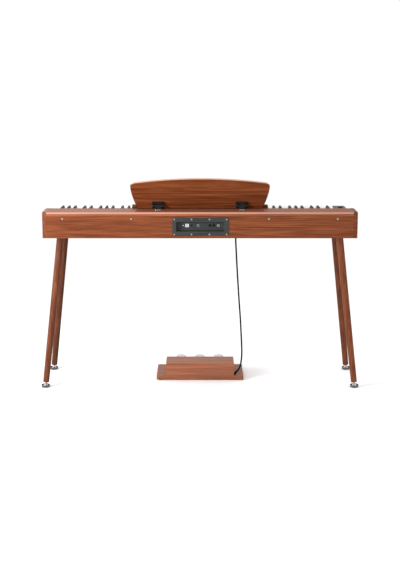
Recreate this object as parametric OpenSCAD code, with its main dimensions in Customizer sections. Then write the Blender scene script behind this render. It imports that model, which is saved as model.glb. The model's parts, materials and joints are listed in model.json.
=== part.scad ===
// Digital piano on a four-legged stand, with a folding music rest and a three-pedal unit.
// X runs along the keyboard with the treble end at +X, the player sits on the -Y side, +Z is up.
// The origin is on the floor, in the middle of the space that the stand and pedals cover.

/* [Case] */
// Length of the case over its side panels
case_w = 1323; // [1318:1:1340]
// Depth of the case, from its back to the key slip
case_d = 314; // [312:1:324]
// Height of the case at its back
case_h = 110; // [108:1:114]
// Height of the underside above the floor
case_z = 652; // [640:1:680]
// Y of the outer back face
back_y = 181; // [179:1:184]
// Thickness of the side panels
side_t = 17; // [15:0.5:17]
// Thickness of the other boards
board_t = 15; // [13:1:16]
// Depth of the top board
top_d = 138; // [134:1:142]
// Height that the arms beside the keys lie below the top
arm_drop = 25; // [20:1:28]
// Radius of the rounded upper edge at the back
edge_r = 9; // [3:1:10]

/* [Keyboard] */
// Distance from one white key to the next
white_pitch = 23.57; // [23.4:0.01:23.6]
// Gap on each side of a key
key_gap = 0.45; // [0.3:0.05:0.6]
// Length of the wide front part of a white key
head_len = 52; // [47:1:55]
// Height of the white keys' top above the floor, less the height of the underside
white_rise = 100; // [99:1:102]
// Height of the black keys above the white ones
black_rise = 10; // [9:1:12]
// Width of a black key at its foot
black_w = 11; // [9:0.5:11.5]
// Radius of the rod that the keys turn on
rod_r = 2; // [1.5:0.25:2.5]

/* [Music rest] */
// Greatest width of the rest
rest_w = 592; // [560:4:640]
// Width of the rest at its foot
rest_foot_w = 538; // [518:4:590]
// Height of the rest along its slope
rest_h = 139; // [125:1:150]
// Rise of the curved upper edge
rest_bow = 21; // [12:1:25]
// Thickness of the rest
rest_t = 12; // [10:1:13]
// Angle that the rest leans back from upright
rest_lean = 22; // [18:1:24]
// Distance from the middle to each hinge
hinge_x = 179; // [150:1:220]

/* [Stand] */
// X of a leg's axis at the underside of the case
leg_top_x = 594; // [585:1:598]
// X of a leg's axis at the floor
leg_foot_x = 667.5; // [645:0.5:680]
// Half the front-to-back distance between leg axes at the case
leg_top_y = 90.5; // [85:0.5:93]
// Half the front-to-back distance between leg axes at the floor
leg_foot_y = 149; // [120:1:150]
// Diameter of a leg at the case
leg_top_d = 32; // [29:1:36]
// Diameter of a leg at its foot
leg_end_d = 26; // [23:1:28]
// Diameter of a levelling foot
pad_d = 36; // [32:1:38]

/* [Pedal unit] */
// Width of the base board
base_w = 382; // [370:4:410]
// Depth of the base board
base_d = 198; // [192:1:210]
// Width of the housing
housing_w = 299; // [285:1:310]
// Depth of the housing
housing_d = 121; // [115:1:125]
// Height of the housing's top above the floor
housing_top = 77; // [74:1:85]
// Distance from one pedal to the next
pedal_pitch = 85.5; // [75:0.5:92]
// Width of a pedal at its toe
pedal_w = 43; // [36:1:46]

/* [Hidden] */
$fn = 48;

walnut = "#a5623f";
walnut_dark = "#7d4526";
charcoal = "#3f4142";
satin_black = "#1c1c1d";
ivory = "#f4f2ec";
steel = "#b9bbbd";
felt_red = "#7a2026";

// Levels and depths of the case
top_z = case_z + case_h;
arm_z = top_z - arm_drop;
front_y = back_y - case_d;
top_front_y = back_y - top_d;
inner_x = case_w / 2 - side_t;
floor_board_t = 12;
floor_z = case_z + floor_board_t;
board_under_z = top_z - board_t;

// Jack panel, let into the back
jack_x = -2;
jack_z = case_z + 48.5;
jack_w = 236;
jack_h = 76;
jack_flange_t = 2.5;
recess_w = 205;
recess_h = 41;
recess_floor_w = 193;
recess_floor_h = 31;
recess_floor_y = back_y - 14;
jack_wall = 2.5;
jack_screw_x = [-109.7, -37.5, 37.5, 109.7];
jack_screw_z = 31.8;
case_screw_x = [-577, -289, 289, 577];
case_screw_z = top_z - 28;
port_z = case_z + 52.5;
port_back_y = recess_floor_y - 16.5;
headphone_x = [-58, -42];
phone_r = 3.2;
pedal_socket_x = -155;
pedal_socket_y = 20;

// Keyboard
keys_x = -583.5;
white_count = 52;
keys_w = white_count * white_pitch;
octave_w = 7 * white_pitch;
white_z = case_z + white_rise;
black_z = white_z + black_rise;
key_front_y = front_y + 20;
pivot_y = key_front_y + 220;
pivot_z = case_z + 79.5;
tail_w = 11.5;
tail_low = pivot_z - 5.5;
tail_high = pivot_z + 5.5;
plate_low = white_z - 10;
white_back_y = top_front_y - 13;
black_back_y = top_front_y - 17;
first_midi = 21;
octave_first = 60;
octave_last = 71;
last_midi = 108;
panel_x0 = -638;
panel_x1 = -586.5;
panel_z = white_z + 1;
knob_x = -613;
knob_y = front_y + 95;

// Keybed
bed_z = case_z + 49;
bed_t = 4;
rail_z = case_z + 61;

// Music rest: the board's own axes are x, then up the slope, then towards the player
rest_y = back_y - 121.5;
rest_z = top_z + 2.5;
rest_widest = 98;
rest_side_curve = 1.5;
rest_shoulder = 7;
hinge_up = 14;
hinge_off = -9;
hinge_r = 6.5;
hinge_pin_r = 2;
hinge_w = 50;
hinge_gap = 28;

// Stand
stand_y = 16;
splay_x = leg_foot_x - leg_top_x;
splay_y = leg_foot_y - leg_top_y;
leg_run = norm([splay_x, splay_y]);
leg_tilt = atan(leg_run / case_z);
leg_len = norm([leg_run, case_z]);
leg_start = 22;
// Turns the seams of the leaning round surfaces away from the plane that they lean in
seam_turn = 90;
plate_t = 5;
plate_z = case_z - plate_t;
stem_r = 3.95;
stem_bore_r = 4;
stud_r = 4;
pad_h = 11;
ball_z = 8;
pad_x = leg_foot_x - ball_z / case_z * splay_x;
pad_y = leg_foot_y - ball_z / case_z * splay_y;

// Pedal unit
unit_back_y = 59;
base_low = 3;
base_t = 18;
base_top = base_low + base_t;
housing_wall = 12;
axle_r = 3;
axle_y = 15;
axle_z = 47;
pedal_low = 50;
pedal_t = 6;
pedal_toe_y = -185.3;
pedal_neck = 12;
relief_z = 26.5;
cord_y = 40;
cord_r = 3.5;
relief_tip = [-165, cord_y, 38.2];
plug_low = case_z - 24;
// Route of the cord, from the pedal unit up to the plug under the case
cord_route = [
    [-163.7, 40, 36.8], [-171, 39.5, 46], [-177.5, 38.5, 60], [-181.5, 37, 80], [-184, 35.5, 103],
    [-184.5, 34, 128], [-183.2, 32, 166], [-180.5, 30, 215], [-178, 28, 262], [-174, 26, 316],
    [-170, 24, 371], [-165.5, 22.5, 438], [-161.2, 21, 507], [-158, 20.3, 565], [-155.8, 20, 605],
    [-155, 20, 630]
];

// ---- helpers ----

function arc(cx, cy, r, a0, a1, n) =
    [for (i = [0:n]) [cx + r * cos(a0 + (a1 - a0) * i / n), cy + r * sin(a0 + (a1 - a0) * i / n)]];

// An outline drawn in the plane of Y and Z, given thickness along X from x0
module across(x0, width) {
    translate([x0, 0, 0]) rotate([90, 0, 90]) linear_extrude(width) children();
}

// A flat rectangle with rounded corners, centred on the origin
module rounded_plate(w, d, r) {
    polygon(concat(
        arc(w / 2 - r, d / 2 - r, r, 0, 90, 6),
        arc(r - w / 2, d / 2 - r, r, 90, 180, 6),
        arc(r - w / 2, r - d / 2, r, 180, 270, 6),
        arc(w / 2 - r, r - d / 2, r, 270, 360, 6)
    ));
}

module box(x0, x1, y0, y1, z0, z1) {
    translate([x0, y0, z0]) cube([x1 - x0, y1 - y0, z1 - z0]);
}

// A round bar along X
module bar_x(x0, x1, y, z, r) {
    translate([x0, y, z]) rotate([0, 90, 0]) cylinder(h = x1 - x0, r = r);
}

// A round bar along Y
module bar_y(x, y0, y1, z, r) {
    translate([x, y0, z]) rotate([-90, 0, 0]) cylinder(h = y1 - y0, r = r);
}

// ---- case ----

module back_panel() {
    color(walnut) difference() {
        box(-inner_x, inner_x, back_y - board_t, back_y, case_z, board_under_z);
        box(jack_x - 106, jack_x + 106, back_y - board_t - 1, back_y + 1, jack_z - 24.5, jack_z + 24.5);
        for (dx = jack_screw_x, side = [-1, 1])
            bar_y(jack_x + dx, back_y - 12, back_y + 1, jack_z + side * jack_screw_z, 1.55);
        for (x = case_screw_x)
            bar_y(x, back_y - board_t - 1, back_y + 1, case_screw_z, 2.05);
    }
}

module top_board() {
    color(walnut) across(-inner_x, 2 * inner_x) polygon(concat(
        [[top_front_y, board_under_z], [back_y, board_under_z]],
        arc(back_y - edge_r, top_z - edge_r, edge_r, 0, 90, 6),
        arc(top_front_y + 4, top_z - 4, 4, 90, 180, 4)
    ));
}

module bottom_board() {
    color(walnut_dark) difference() {
        box(-inner_x, inner_x, front_y + board_t, back_y - board_t, case_z, floor_z);
        for (side = [-1, 1])
            translate([side * 400, stand_y, case_z - 1]) cylinder(h = floor_board_t + 2, r = 42);
        translate([pedal_socket_x, pedal_socket_y, case_z - 1]) cylinder(h = floor_board_t + 2, r = 8);
        for (sx = [-1, 1], sy = [-1, 1])
            along_leg(sx, sy) translate([0, 0, leg_len - 8]) cylinder(h = 20, r = stud_r + 0.05);
    }
}

// The arms stand lower than the top, and a short slope joins them
module side_panel(side) {
    color(walnut) across(side > 0 ? inner_x : -case_w / 2, side_t) polygon(concat(
        [[front_y, case_z], [back_y, case_z]],
        arc(back_y - edge_r, top_z - edge_r, edge_r, 0, 90, 6),
        arc(top_front_y, top_z - 12, 12, 90, 135, 3),
        arc(top_front_y - 25, arm_z + 12, 12, 315, 270, 3),
        arc(front_y + 10, arm_z - 10, 10, 90, 180, 5)
    ));
}

module key_slip() {
    color(walnut) across(-inner_x, 2 * inner_x) polygon(concat(
        [[front_y, case_z], [front_y + board_t, case_z], [front_y + board_t, arm_z]],
        arc(front_y + 5, arm_z - 5, 5, 90, 180, 4)
    ));
}

// Fills the space beside the lowest key, under the control panel
module cheek_block() {
    color(walnut_dark)
        box(-inner_x, -inner_x + 14, front_y + board_t, top_front_y, floor_z, arm_z);
}

module control_panel() {
    color(satin_black) difference() {
        box(panel_x0, panel_x1, key_front_y, top_front_y - 1, arm_z, panel_z);
        box(panel_x0 + 3, panel_x1 - 3, key_front_y + 3, top_front_y - 4, arm_z - 1, panel_z - 3);
        translate([knob_x, knob_y, arm_z]) cylinder(h = 40, r = 3.3);
    }
}

module volume_knob() {
    color(charcoal) difference() {
        union() {
            translate([knob_x, knob_y, panel_z + 0.5]) cylinder(h = 5.5, r1 = 11, r2 = 10.4);
            translate([knob_x, knob_y, arm_z + 5]) cylinder(h = panel_z - arm_z, r = 3);
        }
        translate([knob_x - 0.6, knob_y + 3, panel_z + 5.4]) cube([1.2, 6, 1]);
    }
}

// ---- jack panel ----

module recess_solid(w, h, y, floor_w, floor_h, floor_y) {
    hull() {
        box(jack_x - w / 2, jack_x + w / 2, y - 0.01, y, jack_z - h / 2, jack_z + h / 2);
        box(jack_x - floor_w / 2, jack_x + floor_w / 2, floor_y, floor_y + 0.01,
            jack_z - floor_h / 2, jack_z + floor_h / 2);
    }
}

module jack_panel() {
    face_y = back_y + jack_flange_t;
    color(charcoal) difference() {
        union() {
            translate([jack_x, back_y, jack_z]) rotate([-90, 0, 0])
                linear_extrude(jack_flange_t) rounded_plate(jack_w, jack_h, 9);
            recess_solid(recess_w + 5, recess_h + 5, back_y + 1,
                recess_floor_w + 5, recess_floor_h + 5, recess_floor_y - jack_wall);
        }
        recess_solid(recess_w, recess_h, face_y + 0.1, recess_floor_w, recess_floor_h, recess_floor_y);
        for (dx = jack_screw_x, side = [-1, 1])
            bar_y(jack_x + dx, back_y - 1, face_y + 1, jack_z + side * jack_screw_z, 1.6);
        for (x = headphone_x)
            bar_y(x, recess_floor_y - 4, recess_floor_y + 1, port_z, 6.3);
        bar_y(-77, recess_floor_y - 4, recess_floor_y + 1, port_z, 5.3);
        bar_y(8, recess_floor_y - 4, recess_floor_y + 1, port_z, 5.3);
        bar_y(36, recess_floor_y - 4, recess_floor_y + 1, port_z, 3.8);
        bar_y(70.5, recess_floor_y - 4, recess_floor_y + 1, port_z, 2.3);
        box(46, 63, recess_floor_y - 4, recess_floor_y + 1, port_z - 7.5, port_z + 7.5);
    }
}

module round_socket(x, outer_r, inner_r) {
    difference() {
        bar_y(x, port_back_y, recess_floor_y + 0.8, port_z, outer_r);
        bar_y(x, port_back_y + 2, recess_floor_y + 2, port_z, inner_r);
    }
}

// Headphones twice, power, aux, line, the USB port, a lamp, and the pedal socket underneath
module jack_sockets() {
    color(satin_black) {
        for (x = headphone_x)
            round_socket(x, 6, phone_r);
        round_socket(-77, 5, 2.8);
        bar_y(-77, port_back_y + 1, recess_floor_y - 1, port_z, 1);
        round_socket(8, 5, 3.6);
        round_socket(36, 3.5, 1.8);
        bar_y(70.5, port_back_y, recess_floor_y + 0.8, port_z, 2);
        difference() {
            box(46.5, 62.5, port_back_y, recess_floor_y + 0.8, port_z - 7, port_z + 7);
            box(48, 61, port_back_y + 3, recess_floor_y + 2, port_z - 5.5, port_z + 5.5);
        }
        box(51.5, 57.5, port_back_y + 2, recess_floor_y - 1, port_z - 2, port_z + 2);
        translate([pedal_socket_x, pedal_socket_y, 0]) difference() {
            union() {
                translate([0, 0, case_z - 1.5]) cylinder(h = 1.5, r = 10);
                translate([0, 0, case_z - 0.1]) cylinder(h = 32, r = 7.7);
            }
            translate([0, 0, case_z - 2]) cylinder(h = 31, r = 3.3);
        }
    }
}

module pan_screw(x, z, y, head_r, head_h, shank_r, shank_len) {
    bar_y(x, y - shank_len, y + 0.1, z, shank_r);
    difference() {
        bar_y(x, y, y + head_h, z, head_r);
        for (turn = [0, 90])
            translate([x, y + head_h, z]) rotate([0, turn, 0]) translate([-head_r * 0.5, -0.7, -0.4])
                cube([head_r, 1.4, 0.8]);
    }
}

module jack_panel_screws() {
    color(steel) for (dx = jack_screw_x, side = [-1, 1])
        pan_screw(jack_x + dx, jack_z + side * jack_screw_z, back_y + jack_flange_t, 3.4, 1.8, 1.5, 12);
}

module case_screws() {
    color(steel) for (x = case_screw_x)
        pan_screw(x, case_screw_z, back_y, 4.2, 2.2, 2, 14.5);
}

// The main board behind the sockets, and the contact board under the keys
module circuit_boards() {
    color("#2f6b3c") {
        box(jack_x - 110, jack_x + 110, port_back_y - 1.6, port_back_y, jack_z - 22, jack_z + 22);
        for (i = [0:2])
            box(-70 + 50 * i, -46 + 50 * i, port_back_y - 4.5, port_back_y - 1.5, jack_z - 14, jack_z + 6);
        box(keys_x + 6, keys_x + keys_w - 6, -20, 40, bed_z + bed_t + 3, bed_z + bed_t + 4.6);
        for (x = [keys_x + 30, keys_x + keys_w / 2, keys_x + keys_w - 30])
            translate([x, 10, bed_z + bed_t]) cylinder(h = 3.1, r = 3);
    }
}

module speakers() {
    color(satin_black) for (side = [-1, 1])
        translate([side * 400, stand_y, floor_z]) rotate_extrude()
            polygon([[0, 6], [12, 6], [38, 1], [42, 0], [50, 0], [50, 3], [43, 4], [26, 18], [26, 32], [0, 32]]);
}

module speaker_grilles() {
    color(satin_black) for (side = [-1, 1])
        translate([side * 400, stand_y, case_z - 1.5]) difference() {
            cylinder(h = 1.5, r = 48);
            for (r = [9, 18, 27, 36])
                difference() {
                    translate([0, 0, -1]) cylinder(h = 4, r = r + 2.5);
                    translate([0, 0, -2]) cylinder(h = 6, r = r - 2.5);
                    for (turn = [0, 60, 120])
                        rotate([0, 0, turn]) translate([-50, -1.5, -2]) cube([100, 3, 6]);
                }
        }
}

// ---- keyboard ----

// Where the twelve equal slots of an octave begin: five from C to E and seven from F to B
function slot_x(n) = n < 5 ? n * 3 * white_pitch / 5 : 3 * white_pitch + (n - 5) * 4 * white_pitch / 7;
function octave_x(midi) = keys_x - 5 * white_pitch + (floor(midi / 12) - 1) * octave_w;
function is_black(midi) = len(search(midi % 12, [1, 3, 6, 8, 10])) > 0;
function white_index(midi) = search(midi % 12, [0, 2, 4, 5, 7, 9, 11])[0];
function slot_left(midi) = octave_x(midi) + slot_x(midi % 12);
function slot_right(midi) = octave_x(midi) + slot_x(midi % 12 + 1);
function slot_mid(midi) = (slot_left(midi) + slot_right(midi)) / 2;

// The part under the top board that turns on the rod
module key_tail(x, front_y0, back_y0) {
    box(x - tail_w / 2, x + tail_w / 2, front_y0, pivot_y + 12, tail_low, tail_high);
    box(x - tail_w / 2, x + tail_w / 2, front_y0, back_y0, tail_high - 0.1, plate_low + 0.1);
}

module white_key(midi) {
    head_x = octave_x(midi) + white_index(midi) * white_pitch;
    left = midi == first_midi ? head_x : slot_left(midi);
    right = midi == last_midi ? head_x + white_pitch : slot_right(midi);
    difference() {
        union() {
            box(head_x + key_gap, head_x + white_pitch - key_gap, key_front_y, key_front_y + head_len,
                plate_low, white_z);
            box(head_x + key_gap, head_x + white_pitch - key_gap, key_front_y, key_front_y + 4,
                white_z - 20, white_z);
            box(left + key_gap, right - key_gap, key_front_y + head_len - 1, white_back_y, plate_low, white_z);
            key_tail(slot_mid(midi), key_front_y + 10, white_back_y);
        }
        bar_x(slot_mid(midi) - 20, slot_mid(midi) + 20, pivot_y, pivot_z, rod_r + 0.05);
    }
}

module black_key(midi) {
    x = slot_mid(midi);
    foot_y = key_front_y + head_len;
    difference() {
        union() {
            intersection() {
                translate([x, black_back_y, 0]) rotate([90, 0, 0]) linear_extrude(200) polygon([
                    [-black_w / 2, plate_low], [black_w / 2, plate_low],
                    [black_w / 2 - 0.9, black_z - 1.5], [black_w / 2 - 2, black_z],
                    [2 - black_w / 2, black_z], [0.9 - black_w / 2, black_z - 1.5]
                ]);
                across(x - 10, 20) polygon([
                    [foot_y + 1, plate_low], [black_back_y, plate_low], [black_back_y, black_z],
                    [foot_y + 9, black_z], [foot_y + 5, black_z - 2.5]
                ]);
            }
            key_tail(x, foot_y + 8, black_back_y);
        }
        bar_x(x - 20, x + 20, pivot_y, pivot_z, rod_r + 0.05);
    }
}

module key(midi) {
    if (is_black(midi)) color(satin_black) black_key(midi);
    else color(ivory) white_key(midi);
}

// All keys of one colour in a stretch of the keyboard
module key_bank(first, last, black) {
    for (midi = [first:last])
        if (is_black(midi) == black) key(midi);
}

// Pressed steel tray with a front rail, a rear rail and thin ribs that hold the pivot rod
module keybed_frame() {
    x0 = keys_x - 2;
    x1 = keys_x + keys_w + 2;
    color(steel) difference() {
        union() {
            box(x0, x1, key_front_y + 4, back_y - 40, bed_z, bed_z + bed_t);
            box(x0, x1, key_front_y + 12, key_front_y + 32, bed_z + bed_t - 0.1, rail_z);
            box(x0, x1, pivot_y - 45, pivot_y - 25, bed_z + bed_t - 0.1, tail_low - 4);
            for (x = [x0, x1 - 1.6])
                box(x, x + 1.6, pivot_y - 10, pivot_y + 10, bed_z + bed_t - 0.1, pivot_z + 7);
            for (octave = [2:9])
                box(octave_x(12 * octave) - 0.35, octave_x(12 * octave) + 0.65,
                    pivot_y - 8, pivot_y + 8, bed_z + bed_t - 0.1, pivot_z + 6);
            for (x = [x0 + 25, 0, x1 - 25], y = [key_front_y + 30, pivot_y + 20])
                translate([x, y, floor_z]) cylinder(h = bed_z - floor_z + 0.1, r = 7);
        }
        bar_x(x0 - 1, x1 + 1, pivot_y, pivot_z, rod_r + 0.05);
    }
}

module key_pivot_rod() {
    color(steel) bar_x(keys_x - 2, keys_x + keys_w + 2, pivot_y, pivot_z, rod_r);
}

module key_felt() {
    color(felt_red) box(keys_x - 1.5, keys_x + keys_w + 1.5, key_front_y + 13, key_front_y + 31, rail_z, rail_z + 3);
}

// ---- stand ----

// Places its children on a leg's axis, with Z = 0 at the floor and Z running up the leg
module along_leg(sx, sy) {
    translate([sx * leg_foot_x, stand_y + sy * leg_foot_y, 0])
        rotate([0, leg_tilt, atan2(-sy * splay_y, -sx * splay_x)])
            rotate([0, 0, seam_turn])
                children();
}

module leg(sx, sy) {
    color(walnut) difference() {
        intersection() {
            along_leg(sx, sy) rotate_extrude() polygon([
                [0, leg_start], [leg_end_d / 2 - 2, leg_start], [leg_end_d / 2, leg_start + 2],
                [leg_top_d / 2, leg_len], [leg_top_d / 2, leg_len + 20], [0, leg_len + 20]
            ]);
            box(-800, 800, -400, 400, 0, plate_z);
        }
        along_leg(sx, sy) translate([0, 0, leg_start - 1]) cylinder(h = 56, r = stem_bore_r);
        along_leg(sx, sy) translate([0, 0, leg_len - 40]) cylinder(h = 60, r = stud_r + 0.05);
    }
}

module leg_plates() {
    color(steel) for (sx = [-1, 1], sy = [-1, 1])
        difference() {
            translate([sx * leg_top_x, stand_y + sy * leg_top_y, plate_z]) linear_extrude(plate_t)
                rounded_plate(84, 84, 10);
            along_leg(sx, sy) translate([0, 0, leg_len - 20]) cylinder(h = 40, r = stud_r + 0.05);
        }
}

module leg_studs() {
    color(steel) for (sx = [-1, 1], sy = [-1, 1])
        along_leg(sx, sy) translate([0, 0, leg_len - 38]) cylinder(h = 48, r = stud_r);
}

// A flat pad with a conical top, and a threaded stem that runs up into the leg
module foot(sx, sy) {
    color(steel) {
        translate([sx * pad_x, stand_y + sy * pad_y, 0]) rotate_extrude() polygon([
            [0, 0], [pad_d / 2 - 1.5, 0], [pad_d / 2, 1.5], [pad_d / 2, 4.5], [pad_d / 2 - 2, 6],
            [7, pad_h], [0, pad_h]
        ]);
        along_leg(sx, sy) translate([0, 0, ball_z - 3]) cylinder(h = 60, r = stem_r);
    }
}

// ---- music rest ----

// Places its children in the rest's own axes: x, up the slope, towards the player
module on_rest() {
    translate([0, rest_y, rest_z]) rotate([90 - rest_lean, 0, 0]) children();
}

function rest_side(v) =
    rest_w / 2 - (rest_w - rest_foot_w) / 2 * pow((rest_widest - v) / rest_widest, rest_side_curve);
rest_corner = rest_w / 2 - rest_shoulder;
rest_arc_r = (rest_corner * rest_corner + rest_bow * rest_bow) / (2 * rest_bow);
rest_arc_a = asin(rest_corner / rest_arc_r);
rest_right = concat(
    [for (i = [0:7]) [rest_side(rest_widest * i / 7), rest_widest * i / 7]],
    arc(rest_w / 2 - 12, rest_widest + 5, 12, 0, 70, 4)
);

module music_rest_board() {
    color(walnut) on_rest() linear_extrude(rest_t) polygon(concat(
        rest_right,
        [for (i = [1:11]) let (a = rest_arc_a * (1 - i / 6) * 0.97)
            [rest_arc_r * sin(a), rest_h - rest_arc_r * (1 - cos(a))]],
        [for (i = [len(rest_right) - 1:-1:0]) [-rest_right[i][0], rest_right[i][1]]]
    ));
}

// A flat shelf with a low lip, which fits under and against the foot of the board
module music_rest_ledge() {
    front = rest_y - 36;
    low = rest_z - 1;
    slope = tan(rest_lean);
    foot_front = [rest_y - rest_t * cos(rest_lean) - 0.03, rest_z + rest_t * sin(rest_lean) - 0.03];
    color(walnut) across(-292, 584) polygon([
        [front, low], [rest_y - 6, low], [rest_y - 6, rest_z + 6 * slope - 0.03], foot_front,
        [foot_front[0] + 4 * slope, foot_front[1] + 4], [front + 4, foot_front[1] + 4],
        [front + 4, foot_front[1] + 7], [front, foot_front[1] + 7]
    ]);
}

module rest_hinge_blocks() {
    color(satin_black) for (side = [-1, 1])
        on_rest() translate([side * hinge_x, 0, 0]) difference() {
            union() {
                box(-hinge_w / 2, hinge_w / 2, 2, 32, -6, 0);
                for (x = [-hinge_w / 2, hinge_gap / 2])
                    bar_x(x, x + (hinge_w - hinge_gap) / 2, hinge_up, hinge_off, hinge_r);
            }
            box(-hinge_gap / 2, hinge_gap / 2, 0, 22, -20, 1);
            bar_x(-hinge_w, hinge_w, hinge_up, hinge_off, hinge_pin_r + 0.05);
        }
}

hinge_y = rest_y + hinge_up * sin(rest_lean) - hinge_off * cos(rest_lean);
hinge_z = rest_z + hinge_up * cos(rest_lean) + hinge_off * sin(rest_lean);

module rest_hinge_bases() {
    knuckle_w = hinge_gap - 2;
    color(steel) for (side = [-1, 1])
        translate([side * hinge_x, 0, 0]) difference() {
            union() {
                box(-knuckle_w / 2, knuckle_w / 2, hinge_y - 6, hinge_y + 44, top_z, top_z + 3);
                box(-knuckle_w / 2, knuckle_w / 2, hinge_y - 4.5, hinge_y + 4.5, top_z, hinge_z);
                bar_x(-knuckle_w / 2, knuckle_w / 2, hinge_y, hinge_z, hinge_r);
            }
            bar_x(-knuckle_w, knuckle_w, hinge_y, hinge_z, hinge_pin_r + 0.02);
            for (y = [hinge_y + 16, hinge_y + 36])
                translate([0, y, top_z - 1]) cylinder(h = 6, r = 2.2);
        }
}

module rest_hinge_pins() {
    color(steel) for (side = [-1, 1])
        bar_x(side * hinge_x - hinge_w / 2, side * hinge_x + hinge_w / 2, hinge_y, hinge_z, hinge_pin_r);
}

// ---- pedal unit ----

module pedal_base() {
    color(walnut) translate([0, unit_back_y - base_d / 2, base_low]) linear_extrude(base_t)
        rounded_plate(base_w, base_d, 6);
}

module pedal_unit_feet() {
    color(satin_black) for (x = [-1, 1], y = [unit_back_y - 16, unit_back_y - base_d + 16])
        translate([x * (base_w / 2 - 20), y, 0]) cylinder(h = base_low, r = 10);
}

module pedal_housing() {
    half = housing_w / 2;
    front = unit_back_y - housing_d;
    color(walnut) difference() {
        box(-half, half, front, unit_back_y, base_top, housing_top);
        box(housing_wall - half, half - housing_wall, front + housing_wall, unit_back_y - housing_wall,
            base_top - 1, housing_top - housing_wall);
        for (i = [-1:1])
            box(i * pedal_pitch - 17, i * pedal_pitch + 17, front - 1, front + housing_wall + 1, 36, 60);
        bar_x(6 - half, half - 6, axle_y, axle_z, axle_r + 0.05);
        bar_x(-half - 1, housing_wall + 1 - half, cord_y, relief_z, 4.6);
    }
}

module pedal_axle() {
    color(steel) bar_x(6.5 - housing_w / 2, housing_w / 2 - 6.5, axle_y, axle_z, axle_r);
}

// Half the pedal's width at a distance y in front of the axle
function pedal_half(y) =
    let (t = min(1, max(0, (y - 90) / 60))) pedal_neck + (pedal_w / 2 - pedal_neck) * t * t * (3 - 2 * t);

module pedal(i) {
    toe_r = pedal_w / 2;
    toe_y = pedal_toe_y - axle_y + toe_r;
    right = [for (y = [0, 60, 90, 100, 110, 120, 130, 140, 150, -toe_y]) [pedal_half(y), -y]];
    color(steel) translate([i * pedal_pitch, axle_y, 0]) difference() {
        union() {
            translate([0, 0, pedal_low]) linear_extrude(pedal_t) {
                polygon(concat(right, [for (k = [len(right) - 1:-1:0]) [-right[k][0], right[k][1]]]));
                translate([0, toe_y]) circle(r = toe_r);
            }
            bar_x(-pedal_neck, pedal_neck, 0, axle_z, 7);
        }
        bar_x(-pedal_w, pedal_w, 0, axle_z, axle_r + 0.05);
    }
}

// ---- cord ----

// A smooth curve through the route's points, three steps to each
function spline(a, b, c, d, t) =
    0.5 * (2 * b + (c - a) * t + (2 * a - 5 * b + 4 * c - d) * t * t + (3 * b - a - 3 * c + d) * t * t * t);
cord_steps = 3;
cord_last = len(cord_route) - 1;
cord_points = concat(
    [for (i = [0:cord_last - 1], k = [0:cord_steps - 1])
        spline(cord_route[max(i - 1, 0)], cord_route[i], cord_route[i + 1],
            cord_route[min(i + 2, cord_last)], k / cord_steps)],
    [cord_route[cord_last]]
);
function unit(v) = v / norm(v);

module pedal_cord() {
    sides = 8;
    rings = len(cord_points);
    points = [for (i = [0:rings - 1])
        let (tangent = unit(cord_points[min(i + 1, rings - 1)] - cord_points[max(i - 1, 0)]),
            across = unit(cross(tangent, [0, 1, 0])),
            out = cross(across, tangent))
        for (k = [0:sides - 1])
            cord_points[i] + cord_r * (cos(360 * k / sides) * across + sin(360 * k / sides) * out)];
    walls = [for (i = [0:rings - 2], k = [0:sides - 1])
        let (a = i * sides + k, b = i * sides + (k + 1) % sides)
        each [[a, b, b + sides], [a, b + sides, a + sides]]];
    color(satin_black) polyhedron(points, concat(
        [[for (k = [sides - 1:-1:0]) k]], walls,
        [[for (k = [0:sides - 1]) (rings - 1) * sides + k]]
    ));
}

module cord_plug() {
    color(satin_black) translate([pedal_socket_x, pedal_socket_y, 0]) {
        translate([0, 0, plug_low]) cylinder(h = 6, r1 = 4.1, r2 = 5);
        translate([0, 0, plug_low + 6]) cylinder(h = case_z - 1.5 - plug_low - 6, r = 5.5);
        translate([0, 0, case_z - 2]) cylinder(h = 29, r = 3.15);
    }
}

module cord_strain_relief() {
    side_x = -housing_w / 2;
    bend_x = side_x - 5;
    turn = atan2(relief_tip[2] - relief_z, bend_x - relief_tip[0]);
    color(satin_black) {
        bar_x(side_x - 2, side_x, cord_y, relief_z, 5.3);
        bar_x(bend_x, side_x + housing_wall, cord_y, relief_z, 4.2);
        translate([bend_x, cord_y, relief_z]) {
            sphere(r = 5);
            rotate([0, turn - 90, 0])
                cylinder(h = norm([relief_tip[0] - bend_x, relief_tip[2] - relief_z]), r1 = 4.6, r2 = 3.9);
        }
    }
}

back_panel();
top_board();
bottom_board();
side_panel(1);  // side_panel_treble
side_panel(-1);  // side_panel_bass
key_slip();
cheek_block();
control_panel();
jack_panel();
jack_sockets();
jack_panel_screws();
case_screws();
keybed_frame();
key_pivot_rod();
key_felt();
circuit_boards();
speakers();
speaker_grilles();
leg_plates();
leg_studs();
leg(1, 1);  // leg_rear_treble
leg(-1, 1);  // leg_rear_bass
leg(1, -1);  // leg_front_treble
leg(-1, -1);  // leg_front_bass
foot(1, 1);  // foot_rear_treble
foot(-1, 1);  // foot_rear_bass
foot(1, -1);  // foot_front_treble
foot(-1, -1);  // foot_front_bass
music_rest_board();
music_rest_ledge();
rest_hinge_blocks();
rest_hinge_bases();
rest_hinge_pins();
volume_knob();
key_bank(first_midi, octave_first - 1, false);  // white_keys_bass
key_bank(first_midi, octave_first - 1, true);  // black_keys_bass
key_bank(octave_last + 1, last_midi, false);  // white_keys_treble
key_bank(octave_last + 1, last_midi, true);  // black_keys_treble
key(60);  // key_c4
key(61);  // key_c_sharp_4
key(62);  // key_d4
key(63);  // key_d_sharp_4
key(64);  // key_e4
key(65);  // key_f4
key(66);  // key_f_sharp_4
key(67);  // key_g4
key(68);  // key_g_sharp_4
key(69);  // key_a4
key(70);  // key_a_sharp_4
key(71);  // key_b4
pedal_base();
pedal_housing();
pedal_axle();
pedal_unit_feet();
pedal(-1);  // pedal_soft
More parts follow.
